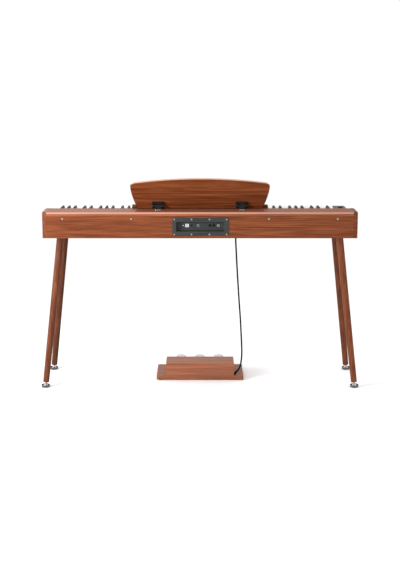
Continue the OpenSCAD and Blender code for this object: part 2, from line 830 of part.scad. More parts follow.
pedal(0);  // pedal_sostenuto
pedal(1);  // pedal_sustain
pedal_cord();
cord_plug();
cord_strain_relief();
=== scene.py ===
"""Looks of a digital piano on a four-legged stand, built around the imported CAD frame. Metres."""
import json
import math

import bmesh
import bpy
from mathutils import Matrix, Vector


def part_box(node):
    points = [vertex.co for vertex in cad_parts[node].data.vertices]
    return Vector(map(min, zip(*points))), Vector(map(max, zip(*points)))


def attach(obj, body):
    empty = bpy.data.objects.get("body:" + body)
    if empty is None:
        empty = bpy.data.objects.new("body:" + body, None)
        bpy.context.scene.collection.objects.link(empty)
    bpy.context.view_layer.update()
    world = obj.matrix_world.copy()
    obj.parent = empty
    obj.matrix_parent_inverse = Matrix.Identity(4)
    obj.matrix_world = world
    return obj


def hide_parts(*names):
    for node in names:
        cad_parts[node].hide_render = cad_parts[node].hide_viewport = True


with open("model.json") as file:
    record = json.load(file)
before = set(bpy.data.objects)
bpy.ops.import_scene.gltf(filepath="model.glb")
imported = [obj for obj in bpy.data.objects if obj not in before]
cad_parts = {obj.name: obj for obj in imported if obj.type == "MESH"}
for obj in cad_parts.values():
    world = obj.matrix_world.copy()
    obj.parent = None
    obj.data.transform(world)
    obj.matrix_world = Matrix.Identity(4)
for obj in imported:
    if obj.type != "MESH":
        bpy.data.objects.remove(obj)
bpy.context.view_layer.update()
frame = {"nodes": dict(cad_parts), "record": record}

FIXED = "case_and_stand"
REST = "music_rest"
UP = (0, 0, 1)
BACKWARD = (0, 1, 0)

# ---------------------------------------------------------------- camera and stage


LENS_MM = 73.5
CAMERA_BEHIND_BACK = 4.839
CAMERA_HEIGHT = 1.3926
CAMERA_TILT = 79
WORLD_STRENGTH = 1.04
FLOOR_GREY = 0.965
FLOOR_REACH = 40


def add_camera():
    """Stands behind the piano at eye height and looks a little down, as the photograph does."""
    data = bpy.data.cameras.new("camera")
    data.lens = LENS_MM
    camera = bpy.data.objects.new("camera", data)
    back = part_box("back_panel")[1].y
    camera.location = (0.0, back + CAMERA_BEHIND_BACK, CAMERA_HEIGHT)
    camera.rotation_euler = (math.radians(CAMERA_TILT), 0, math.radians(180))
    bpy.context.scene.collection.objects.link(camera)
    bpy.context.scene.camera = camera


def add_area(name, location, target, size, power, spread):
    """A soft rectangular lamp that faces target; its spread keeps its light off the floor."""
    data = bpy.data.lights.new(name, "AREA")
    data.shape = "RECTANGLE"
    data.size, data.size_y = size
    data.energy = power
    data.spread = math.radians(spread)
    lamp = bpy.data.objects.new(name, data)
    lamp.location = location
    lamp.rotation_euler = (Vector(target) - Vector(location)).to_track_quat("-Z", "Y").to_euler()
    bpy.context.scene.collection.objects.link(lamp)


def add_lights():
    """A soft key lamp beside the treble end, weak fills, and an even white studio around them."""
    add_area("key_light", (1.9, 1.3, 1.0), (0.35, 0.18, 0.62), (0.7, 0.9), 15, 90)
    add_area("fill_light", (-2.6, 3.4, 1.4), (0, 0, 0.6), (1.6, 1.6), 0.8, 70)
    add_area("front_light", (0.6, -3.6, 2.2), (0, 0, 0.7), (2.0, 1.6), 3, 70)
    world = bpy.data.worlds.new("studio")
    world.use_nodes = True
    background = world.node_tree.nodes["Background"]
    background.inputs["Color"].default_value = (1.0, 1.0, 1.0, 1)
    background.inputs["Strength"].default_value = WORLD_STRENGTH
    bpy.context.scene.world = world


def add_floor():
    """The studio's pale floor, which runs far past the view."""
    mesh = bpy.data.meshes.new("studio_floor")
    bm = bmesh.new()
    bmesh.ops.create_grid(bm, x_segments=1, y_segments=1, size=FLOOR_REACH)
    bm.to_mesh(mesh)
    bm.free()
    floor = bpy.data.objects.new("studio_floor", mesh)
    bpy.context.scene.collection.objects.link(floor)
    mesh.materials.append(plain_material("studio_floor", (FLOOR_GREY,) * 3, 0.9))


# ---------------------------------------------------------------- node helpers


def add_node(tree, kind, inputs=None, **settings):
    """A node with its settings and inputs; an input given as a socket is linked."""
    made = tree.nodes.new(kind)
    for key, value in settings.items():
        setattr(made, key, value)
    for key, value in (inputs or {}).items():
        if isinstance(value, bpy.types.NodeSocket):
            tree.links.new(value, made.inputs[key])
        else:
            made.inputs[key].default_value = value
    return made


def new_material(name, roughness, metallic=0.0):
    """A material with a bare Principled shader; gives the material, its tree and the shader."""
    material = bpy.data.materials.new(name)
    material.use_nodes = True
    tree = material.node_tree
    shader = tree.nodes["Principled BSDF"]
    shader.inputs["Roughness"].default_value = roughness
    shader.inputs["Metallic"].default_value = metallic
    return material, tree, shader


def stretched(tree, scale, offset=(0, 0, 0)):
    """The piece's own coordinates in metres, stretched and shifted."""
    source = add_node(tree, "ShaderNodeTexCoord")
    mapping = add_node(tree, "ShaderNodeMapping", {"Vector": source.outputs["Object"]})
    mapping.inputs["Location"].default_value = offset
    mapping.inputs["Scale"].default_value = scale
    return mapping.outputs["Vector"]


def noise(tree, vector, scale, detail=2.0, roughness=0.5, distortion=0.0):
    """Smooth noise from 0 to 1."""
    made = add_node(tree, "ShaderNodeTexNoise", {
        "Vector": vector, "Scale": scale, "Detail": detail, "Roughness": roughness,
        "Distortion": distortion})
    return made.outputs["Fac"]


def ramp(tree, value, stops):
    """A colour ramp; each stop is a position and a grey level or a colour."""
    made = add_node(tree, "ShaderNodeValToRGB", {"Fac": value})
    elements = made.color_ramp.elements
    while len(elements) < len(stops):
        elements.new(1.0)
    for element, (position, colour) in zip(elements, stops):
        if not hasattr(colour, "__len__"):
            colour = (colour, colour, colour)
        element.position = position
        element.color = (*colour, 1)
    return made.outputs["Color"]


MIX_FACTOR, MIX_A, MIX_B, MIX_RESULT = 0, 6, 7, 2


def mixed(tree, kind, amount, first, second):
    """Two colours mixed by a factor."""
    made = add_node(tree, "ShaderNodeMix", data_type="RGBA", blend_type=kind)
    for index, value in ((MIX_FACTOR, amount), (MIX_A, first), (MIX_B, second)):
        if isinstance(value, bpy.types.NodeSocket):
            tree.links.new(value, made.inputs[index])
        elif index == MIX_FACTOR:
            made.inputs[index].default_value = value
        else:
            made.inputs[index].default_value = (*value, 1)
    return made.outputs[MIX_RESULT]


def ranged(tree, value, low, high):
    """A 0 to 1 value stretched between low and high."""
    made = add_node(tree, "ShaderNodeMapRange", {"Value": value, "To Min": low, "To Max": high})
    return made.outputs["Result"]


def bumped(tree, shader, height, distance, strength):
    """Gives a shader a fine relief, distance in metres."""
    made = add_node(tree, "ShaderNodeBump", {
        "Height": height, "Distance": distance, "Strength": strength})
    tree.links.new(made.outputs["Normal"], shader.inputs["Normal"])


# ---------------------------------------------------------------- materials


def plain_material(name, colour, roughness):
    """The studio floor's paint, with a faint unevenness."""
    material, tree, shader = new_material(name, roughness)
    soft = noise(tree, stretched(tree, (1, 1, 1)), 3.0)
    pale = tuple(min(1, c * 1.02) for c in colour)
    tree.links.new(mixed(tree, "MIX", soft, colour, pale), shader.inputs["Base Color"])
    return material


# Stretches that draw noise out along the grain's axis: for streaks, and for single fibres.
GRAIN = {"x": (0.35, 14, 14), "y": (14, 0.35, 14), "z": (14, 14, 0.35)}
FIBRE = {"x": (3, 220, 220), "y": (220, 3, 220), "z": (220, 220, 3)}
WOOD_DARK = (0.082, 0.018, 0.006)
WOOD_MIDDLE = (0.172, 0.043, 0.014)
WOOD_LIGHT = (0.280, 0.086, 0.032)
WOOD_PORE = (0.060, 0.016, 0.007)
# The pale colour of the painted highlight (painted sheen) that is mixed over the wood.
WOOD_PAINTED_SHEEN = (0.62, 0.36, 0.27)


def wood(name, along, seed, tone, gloss, painted_sheen=0.0):
    """Red-brown veneer under satin lacquer: fine straight streaks along one axis of the frame.

    The tone scales its colours, and the painted sheen is the share of a pale painted highlight mixed
    over them.
    """
    material, tree, shader = new_material(name, 0.45)
    shift = (seed * 3.1, seed * 1.7, seed * 2.3)
    grain = stretched(tree, GRAIN[along], shift)
    cloud = noise(tree, stretched(tree, (1, 1, 1), shift), 2.4, 2.0)
    bands = noise(tree, grain, 4.0, 2.0, 0.5, 0.35)
    streaks = noise(tree, grain, 15.0, 3.0, 0.6, 0.25)
    fibres = noise(tree, stretched(tree, FIBRE[along], shift), 4.0, 3.0, 0.6)
    specks = noise(tree, stretched(tree, FIBRE[along], shift), 2.4, 1.0)
    pores = ramp(tree, specks, [(0.62, 0), (0.72, 1)])
    dark, middle, light = (tuple(c * tone for c in colour)
                           for colour in (WOOD_DARK, WOOD_MIDDLE, WOOD_LIGHT))
    base = ramp(tree, bands, [(0.32, dark), (0.50, middle), (0.68, light)])
    fine = ramp(tree, streaks, [(0.35, dark), (0.50, middle), (0.64, light)])
    colour = mixed(tree, "MIX", 0.6, base, fine)
    colour = mixed(tree, "MULTIPLY", 0.5, colour, ramp(tree, cloud, [(0.3, 0.82), (0.7, 1.0)]))
    colour = mixed(tree, "MULTIPLY", 0.4, colour, ramp(tree, fibres, [(0.3, 0.70), (0.6, 1.0)]))
    colour = mixed(tree, "MIX", ranged(tree, pores, 0.0, 0.35), colour, WOOD_PORE)
    # Painted highlight: a share of pale colour mixed over the wood.
    colour = mixed(tree, "MIX", painted_sheen, colour, WOOD_PAINTED_SHEEN)
    tree.links.new(colour, shader.inputs["Base Color"])
    tree.links.new(ranged(tree, streaks, 0.40, 0.56), shader.inputs["Roughness"])
    shader.inputs["Specular IOR Level"].default_value = gloss
    bumped(tree, shader, fibres, 0.00012, 0.3)
    return material


def moulded(name, colour, roughness, grain=900.0):
    """Moulded plastic: a fine spark-eroded texture and slightly uneven gloss."""
    material, tree, shader = new_material(name, roughness)
    skin = noise(tree, stretched(tree, (1, 1, 1)), grain, 2.0)
    cloud = noise(tree, stretched(tree, (1, 1, 1)), 14.0, 3.0)
    lighter = tuple(c * 1.25 + 0.004 for c in colour)
    tree.links.new(mixed(tree, "MIX", cloud, colour, lighter), shader.inputs["Base Color"])
    tree.links.new(ranged(tree, cloud, roughness - 0.06, roughness + 0.06),
                   shader.inputs["Roughness"])
    shader.inputs["Specular IOR Level"].default_value = 0.22
    bumped(tree, shader, skin, 0.00006, 0.5)
    return material


def glossy_key(name, colour, roughness, gloss):
    """Polished key top: faint cloudiness, and fingertip haze in the gloss."""
    material, tree, shader = new_material(name, roughness)
    cloud = noise(tree, stretched(tree, (1, 1, 1)), 30.0, 3.0)
    haze = noise(tree, stretched(tree, (1, 0.4, 1)), 90.0, 3.0)
    darker = tuple(c * 0.95 for c in colour)
    tree.links.new(mixed(tree, "MIX", cloud, darker, colour), shader.inputs["Base Color"])
    tree.links.new(ranged(tree, haze, roughness - 0.04, roughness + 0.08),
                   shader.inputs["Roughness"])
    shader.inputs["Specular IOR Level"].default_value = gloss
    bumped(tree, shader, haze, 0.00003, 0.3)
    return material


def metal(name, colour, roughness, scale, depth=0.00002, streak=(1, 1, 1)):
    """Bare or plated metal with faint brushing or polishing marks."""
    material, tree, shader = new_material(name, roughness, 1.0)
    marks = noise(tree, stretched(tree, streak), scale, 4.0, 0.6)
    darker = tuple(c * 0.86 for c in colour)
    tree.links.new(mixed(tree, "MIX", marks, darker, colour), shader.inputs["Base Color"])
    tree.links.new(ranged(tree, marks, max(0.02, roughness - 0.05), roughness + 0.07),
                   shader.inputs["Roughness"])
    bumped(tree, shader, marks, depth, 0.4)
    return material


def rubber(name, colour, roughness, dusty):
    """Matt rubber, a little dusty."""
    material, tree, shader = new_material(name, roughness)
    dust = noise(tree, stretched(tree, (1, 1, 1)), 45.0, 4.0)
    paler = tuple(c * 1.5 + dusty for c in colour)
    tree.links.new(mixed(tree, "MIX", dust, colour, paler), shader.inputs["Base Color"])
    tree.links.new(ranged(tree, dust, roughness - 0.1, roughness + 0.12),
                   shader.inputs["Roughness"])
    shader.inputs["Specular IOR Level"].default_value = 0.03
    bumped(tree, shader, noise(tree, stretched(tree, (1, 1, 1)), 1500.0), 0.00004, 0.4)
    return material


def felt(name, colour):
    """Pressed wool felt."""
    material, tree, shader = new_material(name, 0.95)
    fuzz = noise(tree, stretched(tree, (1, 1, 1)), 700.0, 5.0, 0.7)
    darker = tuple(c * 0.6 for c in colour)
    tree.links.new(mixed(tree, "MIX", fuzz, darker, colour), shader.inputs["Base Color"])
    shader.inputs["Sheen Weight"].default_value = 0.5
    bumped(tree, shader, fuzz, 0.0004, 0.8)
    return material


def circuit(name):
    """Green solder mask with faint copper tracks."""
    material, tree, shader = new_material(name, 0.35)
    tracks = add_node(tree, "ShaderNodeTexBrick", {
        "Vector": stretched(tree, (1, 1, 1)), "Scale": 60.0, "Mortar Size": 0.03})
    lines = ramp(tree, tracks.outputs["Fac"], [(0.4, 0), (0.6, 1)])
    tree.links.new(mixed(tree, "MIX", lines, (0.01, 0.11, 0.035), (0.03, 0.22, 0.08)),
                   shader.inputs["Base Color"])
    bumped(tree, shader, lines, 0.00005, 0.5)
    return material


MATERIALS = {}


def make_materials():
    """The materials that several pieces share."""
    MATERIALS.update({
        "charcoal": moulded("charcoal_plastic", (0.026, 0.028, 0.028), 0.6),
        "black": moulded("black_plastic", (0.006, 0.006, 0.0065), 0.45),
        "pale_plastic": moulded("pale_plastic", (0.62, 0.62, 0.61), 0.45),
        "white_key": glossy_key("white_key", (0.80, 0.79, 0.76), 0.22, 0.3),
        "black_key": glossy_key("black_key", (0.005, 0.005, 0.0055), 0.42, 0.03),
        "screw": metal("zinc_screw", (0.42, 0.38, 0.34), 0.42, 300.0),
        "steel": metal("zinc_steel", (0.62, 0.62, 0.63), 0.38, 40.0),
        "chrome": metal("chrome", (0.80, 0.80, 0.81), 0.12, 25.0, 0.00001),
        "grille": moulded("grille_coating", (0.020, 0.020, 0.021), 0.5, 1200.0),
        "rubber": rubber("black_rubber", (0.018, 0.018, 0.018), 0.6, 0.006),
        "cord": rubber("cord_jacket", (0.0015, 0.0015, 0.0017), 0.5, 0.001),
        "pedal": metal("pedal_plating", (0.40, 0.38, 0.37), 0.24, 60.0, 0.00001, (1, 0.2, 1)),
        "dark_metal": metal("dark_metal", (0.13, 0.13, 0.13), 0.30, 60.0, 0.00001),
        "felt": felt("red_felt", (0.34, 0.030, 0.040)),
        "circuit": circuit("circuit_board"),
    })


# ---------------------------------------------------------------- mesh helpers


SAME_PLACE = 1e-6


def as_object(name, bm, material, angle=38):
    """Turns a bmesh into a smooth-shaded object whose flat faces stay flat."""
    mesh = bpy.data.meshes.new(name)
    bmesh.ops.remove_doubles(bm, verts=bm.verts, dist=SAME_PLACE)
    bmesh.ops.recalc_face_normals(bm, faces=bm.faces)
    bm.to_mesh(mesh)
    bm.free()
    mesh.polygons.foreach_set("use_smooth", [True] * len(mesh.polygons))
    mesh.set_sharp_from_angle(angle=math.radians(angle))
    piece = bpy.data.objects.new(name, mesh)
    bpy.context.scene.collection.objects.link(piece)
    mesh.materials.append(material)
    weighted = piece.modifiers.new("flat_faces", "WEIGHTED_NORMAL")
    weighted.keep_sharp = True
    return piece


def place(piece, body, slot, *nodes):
    """Lets a piece ride on a body and stand for CAD nodes, which it hides; the slot is not used."""
    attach(piece, body)
    if nodes:
        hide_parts(*nodes)
    return piece


# For each direction of extrusion: the outline's two axes, and the one it is extruded along.
AXES = {"x": (1, 2, 0), "y": (0, 2, 1), "z": (0, 1, 2)}


def prism(bm, outline, along, low, high):
    """Extrudes a closed outline along an axis, from low to high."""
    first, second, third = AXES[along]
    rings = []
    for level in (low, high):
        ring = []
        for a, b in outline:
            point = [0, 0, 0]
            point[first], point[second], point[third] = a, b, level
            ring.append(bm.verts.new(point))
        rings.append(ring)
    count = len(outline)
    for i in range(count):
        j = (i + 1) % count
        bm.faces.new((rings[0][i], rings[0][j], rings[1][j], rings[1][i]))
    bm.faces.new(rings[0])
    bm.faces.new(rings[1])


def soften(bm, width, segments=2):
    """Rounds every sharp edge."""
    bmesh.ops.recalc_face_normals(bm, faces=bm.faces)
    bm.normal_update()
    limit = math.radians(50)
    sharp = [e for e in bm.edges if len(e.link_faces) == 2 and e.calc_face_angle(0) > limit]
    bmesh.ops.bevel(bm, geom=sharp, offset=width, segments=segments, profile=0.5, affect="EDGES",
                    clamp_overlap=True)


def arc(centre, radius, start, end, steps):
    """Points along an arc, its angles in degrees."""
    return [(centre[0] + radius * math.cos(math.radians(start + (end - start) * i / steps)),
             centre[1] + radius * math.sin(math.radians(start + (end - start) * i / steps)))
            for i in range(steps + 1)]


def slab(name, outline, along, low, high, material, width):
    """One board: an extruded outline with its edges eased."""
    bm = bmesh.new()
    prism(bm, outline, along, low, high)
    soften(bm, width)
    return as_object(name, bm, material)


def join_rings(bm, one, two):
    """Quads between two closed rings of as many points."""
    for k in range(len(one)):
        n = (k + 1) % len(one)
        bm.faces.new((one[k], one[n], two[n], two[k]))


def rectangle(x0, x1, y0, y1):
    """A rectangle's outline."""
    return [(x0, y0), (x1, y0), (x1, y1), (x0, y1)]


def rounded_rectangle(wide, high, radius, steps, centre):
    """The outline of a rectangle with round corners."""
    x, y = wide / 2 - radius, high / 2 - radius
    points = []
    for start, along, up in ((0, x, y), (90, -x, y), (180, -x, -y), (270, x, -y)):
        points += arc((centre[0] + along, centre[1] + up), radius, start, start + 90, steps)
    return points


def lathe(bm, profile, origin, axis, steps):
    """Turns a profile of (radius, distance) about an axis through origin."""
    turn = Vector(UP).rotation_difference(Vector(axis)).to_matrix()
    origin = Vector(origin)
    rings = []
    for radius, height in profile:
        if radius < SAME_PLACE / 10:
            rings.append([bm.verts.new(origin + turn @ Vector((0, 0, height)))])
            continue
        ring = []
        for k in range(steps):
            angle = 2 * math.pi * k / steps
            point = Vector((radius * math.cos(angle), radius * math.sin(angle), height))
            ring.append(bm.verts.new(origin + turn @ point))
        rings.append(ring)
    for one, two in zip(rings, rings[1:]):
        for k in range(steps):
            corners = [one[k % len(one)], one[(k + 1) % len(one)],
                       two[(k + 1) % len(two)], two[k % len(two)]]
            unique = list(dict.fromkeys(corners))
            if len(unique) > 2:
                bm.faces.new(unique)


def turned(name, profile, origin, axis, material, steps=64):
    """A lathe-turned piece."""
    bm = bmesh.new()
    lathe(bm, profile, origin, axis, steps)
    return as_object(name, bm, material)


EASED = 0.0006
PANEL_EASED = 0.0014


def finish_cad(node, material, width=EASED):
    """Gives a carried-over CAD node eased edges and its material."""
    piece = frame["nodes"][node]
    piece.data.materials.clear()
    piece.data.materials.append(material)
    weld = piece.modifiers.new("weld", "WELD")
    weld.merge_threshold = 1e-5
    bevel = piece.modifiers.new("eased_edges", "BEVEL")
    bevel.width = width
    bevel.segments = 2
    bevel.limit_method = "ANGLE"
    bevel.angle_limit = math.radians(40)
    bevel.harden_normals = False
    return piece


# ---------------------------------------------------------------- cord


CORD_RADIUS = 0.0035
# The cord's centre line from the strain relief up to the plug, in millimetres.
CORD_ROUTE = [
    (-163.7, 40, 36.8), (-171, 39.5, 46), (-177.5, 38.5, 60), (-181.5, 37, 80), (-184, 35.5, 103),
    (-184.5, 34, 128), (-183.2, 32, 166), (-180.5, 30, 215), (-178, 28, 262), (-174, 26, 316),
    (-170, 24, 371), (-165.5, 22.5, 438), (-161.2, 21, 507), (-158, 20.3, 565), (-155.8, 20, 605),
    (-155, 20, 630),
]


def spline(points, steps):
    """A smooth curve through the points, with a few steps to each."""
    last = len(points) - 1
    made = []
    for i in range(last):
        a, b = points[max(i - 1, 0)], points[i]
        c, d = points[i + 1], points[min(i + 2, last)]
        for k in range(steps):
            t = k / steps
            made.append(0.5 * (2 * b + (c - a) * t + (2 * a - 5 * b + 4 * c - d) * t * t
                               + (3 * b - a - 3 * c + d) * t ** 3))
    return made + [points[last]]


def add_cord():
    """The pedal unit's cord hangs from its plug under the case and bends into the strain relief."""
    points = spline([Vector(p) / 1000 for p in CORD_ROUTE], 6)
    curve = bpy.data.curves.new("pedal_cord", "CURVE")
    curve.dimensions = "3D"
    line = curve.splines.new("POLY")
    line.points.add(len(points) - 1)
    for target, point in zip(line.points, points):
        target.co = (*point, 1)
    curve.bevel_depth = CORD_RADIUS
    curve.bevel_resolution = 5
    curve.use_fill_caps = True
    curve.materials.append(MATERIALS["cord"])
    cord = bpy.data.objects.new("pedal_cord_jacket", curve)
    bpy.context.scene.collection.objects.link(cord)
    place(cord, FIXED, "cord_jacket", "pedal_cord")
    relief = finish_cad("cord_strain_relief", MATERIALS["cord"], 0.0004)
    plug = finish_cad("cord_plug", MATERIALS["black"], 0.0004)


# ---------------------------------------------------------------- case and music rest


def add_top_board():
    """The top board; its back edge is rolled over in a smooth quarter round and painted paler as a
    highlight.
    """
    low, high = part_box("top_board")
    rolled, eased = 0.009, 0.004
    outline = [(low.y, low.z), (high.y, low.z)]
    outline += arc((high.y - rolled, high.z - rolled), rolled, 0, 90, 14)
    outline += arc((low.y + eased, high.z - eased), eased, 90, 180, 6)
    bm = bmesh.new()
    prism(bm, outline, "x", low.x, high.x)
    # The board's wood carries a little painted sheen as a highlight.
    board = as_object("top_board_veneered", bm, wood("wood_top_board", "x", 0.37, 1.3, 0.04, 0.08))
    # Its rolled edge takes a paler copy of the wood with strong sheen: a painted highlight.
    board.data.materials.append(wood("wood_rolled_edge_painted_highlight", "x", 2.2, 1.5, 0.3, 0.55))
    for face in board.data.polygons:
        if face.normal.y > 0.2 and face.normal.z > 0.2:
            face.material_index = 1
    place(board, FIXED, "walnut", "top_board")


REST_LEAN = 68
REST_THICK = 0.012
REST_FOOT_WIDE = 0.538
REST_FOOT_Y = 0.0595
REST_FOOT_GAP = 0.0025
REST_HEIGHT = 0.139
REST_WIDEST_AT = 0.098
REST_BOW = 0.021
REST_CORNER = 0.012


def rest_outline():
    """The music rest's outline, x against height up its own slope: flared sides, bowed top."""
    low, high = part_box("music_rest_board")
    wide = high.x - low.x
    flare = (wide - REST_FOOT_WIDE) / 2
    right = [(wide / 2 - flare * ((REST_WIDEST_AT - v) / REST_WIDEST_AT) ** 1.5, v)
             for v in [REST_WIDEST_AT * i / 16 for i in range(17)]]
    right += arc((wide / 2 - REST_CORNER, REST_WIDEST_AT + 0.005), REST_CORNER, 0, 70, 8)
    corner = wide / 2 - 0.007
    radius = (corner ** 2 + REST_BOW ** 2) / (2 * REST_BOW)
    turn = math.degrees(math.asin(corner / radius)) * 0.965
    top = arc((0, REST_HEIGHT - radius), radius, 90 - turn, 90 + turn, 44)
    return right + top + [(-x, v) for x, v in reversed(right)]


def rest_to_frame():
    """Takes the rest's own axes (x, up the slope, towards the player) to the frame."""
    foot = Vector((0, REST_FOOT_Y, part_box("top_board")[1].z + REST_FOOT_GAP))
    return Matrix.Translation(foot) @ Matrix.Rotation(math.radians(REST_LEAN), 4, "X")


def add_rest_board():
    """The music rest: a bowed board with rounded edges; its upper edge is painted pale as a
    highlight and its side edges dark as shade.
    """
    bm = bmesh.new()
    prism(bm, rest_outline(), "z", 0, REST_THICK)
    soften(bm, 0.0022, 4)
    board = as_object("music_rest_veneered", bm, wood("wood_rest", "x", 1.9, 1.0, 0.0))
    # Lit and shaded copies of the rest's wood: a pale painted highlight on the upper edge, painted
    # shade on the side edges.
    board.data.materials.append(wood("wood_rest_upper_edge_painted_highlight", "x", 3.3, 1.6, 0.3, 0.9))
    board.data.materials.append(wood("wood_rest_side_edge_painted_shade", "y", 4.1, 0.30, 0.1))
    for face in board.data.polygons:
        if face.normal.y > 0.75:
            face.material_index = 1
        elif abs(face.normal.x) > 0.45:
            face.material_index = 2
    board.matrix_world = rest_to_frame()
    place(board, REST, "walnut", "music_rest_board")


def add_ledge():
    """The music rest's shelf: a lip at the front, and an underside close above the top board."""
    low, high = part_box("music_rest_ledge")
    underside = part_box("top_board")[1].z + 0.0004
    step_y, shelf_z = 0.0425, low.z + 0.0095
    outline = [(low.y, low.z), (step_y, low.z), (step_y, underside), (high.y, underside),
               (high.y, low.z + 0.0034), (0.0484, low.z + 0.0055), (0.0499, shelf_z),
               (low.y + 0.004, shelf_z), (low.y + 0.0036, high.z), (low.y, high.z)]
    veneer = wood("wood_ledge", "x", 4.7, 0.7, 0.02)
    shelf = slab("music_rest_shelf", outline, "x", low.x, high.x, veneer, 0.0005)
    place(shelf, REST, "walnut", "music_rest_ledge")


HINGE_WIDE = 0.026
HINGE_PLATE_THICK = 0.003


def knuckle_outline(y, z, low):
    """A hinge knuckle seen from its end: a round eye on a web that stands on the plate."""
    eye_radius, half_web = 0.0065, 0.0045
    return arc((y, z), eye_radius, -40, 220, 20) + [(y - half_web, low), (y + half_web, low)]


def add_hinge_bases():
    """Each rest hinge stands on a bright plate; its eye and web are black like the block above."""
    low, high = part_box("rest_hinge_bases")
    pin = sum(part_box("rest_hinge_pins"), Vector()) / 2
    half = HINGE_WIDE / 2
    for index, side in enumerate((-1, 1)):
        middle = side * (high.x - half)
        centre = (middle, (high.y + low.y) / 2)
        plate = slab("rest_hinge_plate_%d" % index,
                     rounded_rectangle(HINGE_WIDE, high.y - low.y, 0.003, 5, centre), "z",
                     low.z, low.z + HINGE_PLATE_THICK, MATERIALS["chrome"], 0.0006)
        place(plate, FIXED, "chrome", "rest_hinge_bases")
        outline = knuckle_outline(pin.y, pin.z, low.z + HINGE_PLATE_THICK + 0.0001)
        web = slab("rest_hinge_eye_%d" % index, outline, "x", middle - half, middle + half,
                   MATERIALS["black"], 0.0005)
        place(web, FIXED, "black_plastic")


SOCKETS_Z = 0.7045
USB_X = 0.0545
LAMP_X = 0.0705
COLLARS = (("line", 0.008, 0.0036), ("power", -0.077, 0.0030))


def add_usb_face():
    """The pale shell and tongue of the USB socket in the black socket strip."""
    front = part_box("jack_sockets")[1].y + 0.0002
    inside = front - 0.004
    bm = bmesh.new()
    centre = (USB_X, SOCKETS_Z)
    ring = rounded_rectangle(0.0150, 0.0134, 0.0008, 3, centre)
    hole = rounded_rectangle(0.0092, 0.0080, 0.0008, 3, centre)
    loops = [[bm.verts.new((x, y, z)) for x, z in outline]
             for y, outline in ((inside, ring), (front, ring), (front, hole), (inside, hole))]
    for one, two in zip(loops, loops[1:] + loops[:1]):
        join_rings(bm, one, two)
    place(as_object("usb_shell", bm, MATERIALS["pale_plastic"]), FIXED, "black_plastic")
    face = rectangle(USB_X - 0.0030, USB_X + 0.0030, SOCKETS_Z - 0.0018, SOCKETS_Z + 0.0018)
    tongue = slab("usb_tongue", face, "y", inside, front - 0.0006, MATERIALS["pale_plastic"], 0.0002)
    place(tongue, FIXED, "black_plastic")


def add_socket_rings():
    """Bright collars on two of the sockets, and the lens of the small lamp beside the USB port."""
    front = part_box("jack_sockets")[1].y
    for label, x, inner in COLLARS:
        outer, lip = 0.0052, 0.0004
        collar = [(inner, -0.002), (outer, -0.002), (outer, lip), (outer - lip, 2 * lip),
                  (inner, 2 * lip), (inner, -0.002)]
        ring = turned("socket_collar_" + label, collar, (x, front, SOCKETS_Z), BACKWARD,
                      MATERIALS["steel"], 48)
        place(ring, FIXED, "black_plastic")
    lens = [(0, 0.0004), (0.0016, 0.0004), (0.0022, 0.0008), (0.0019, 0.0018), (0.0010, 0.0025),
            (0, 0.0027)]
    lamp = turned("lamp_lens", lens, (LAMP_X, front, SOCKETS_Z), BACKWARD, MATERIALS["pale_plastic"],
                  32)
    place(lamp, FIXED, "black_plastic")


KNOB_FLUTES = 32
KNOB_FLUTE_DEPTH = 0.022
POINTER_HALF = 0.0006


def add_knob():
    """The volume knob: a turned cap with fluted sides and a pointer line."""
    low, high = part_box("volume_knob")
    centre = (low + high) / 2
    bm = bmesh.new()
    top = high.z - low.z
    skirt, face = top - 0.0055, top - 0.0005
    profile = [(0, 0), (0.003, 0), (0.003, skirt), (0.0106, skirt), (0.0109, top - 0.0050),
               (0.0105, top - 0.0008), (0.0098, top), (0.0088, top), (0.0084, face), (0, face)]
    lathe(bm, profile, (centre.x, centre.y, low.z), UP, 96)
    for vert in bm.verts:
        x, y = vert.co.x - centre.x, vert.co.y - centre.y
        radius = math.hypot(x, y)
        if radius > 0.0100:
            grip = 1 - KNOB_FLUTE_DEPTH * (1 + math.cos(math.atan2(y, x) * KNOB_FLUTES))
            vert.co.x, vert.co.y = centre.x + x * grip, centre.y + y * grip
    place(as_object("volume_knob_cap", bm, MATERIALS["charcoal"]), "volume_knob", "charcoal_plastic",
          "volume_knob")
    bm = bmesh.new()
    line = rectangle(centre.x - POINTER_HALF, centre.x + POINTER_HALF, centre.y + 0.003,
                     centre.y + 0.0082)
    prism(bm, line, "z", high.z - 0.0006, high.z - 0.0003)
    place(as_object("volume_knob_pointer", bm, MATERIALS["pale_plastic"]), "volume_knob",
          "charcoal_plastic")


# ---------------------------------------------------------------- stand


# A leg's axis at the floor and at the case, across and along from the middle of the stand.
LEG_FOOT = (0.6675, 0.149)
LEG_TOP = (0.594, 0.0905)
STAND_Y = 0.016
LEG_START = 0.022
LEG_TAPER_START = 0.0245
BORE = 0.004
PAD_TOP = 0.008


def leg_line(side, end):
    """The floor point of a leg's axis, its direction, and its length up to the case."""
    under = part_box("back_panel")[0].z
    foot = Vector((side * LEG_FOOT[0], STAND_Y + end * LEG_FOOT[1], 0))
    top = Vector((side * LEG_TOP[0], STAND_Y + end * LEG_TOP[1], under))
    return foot, (top - foot).normalized(), (top - foot).length


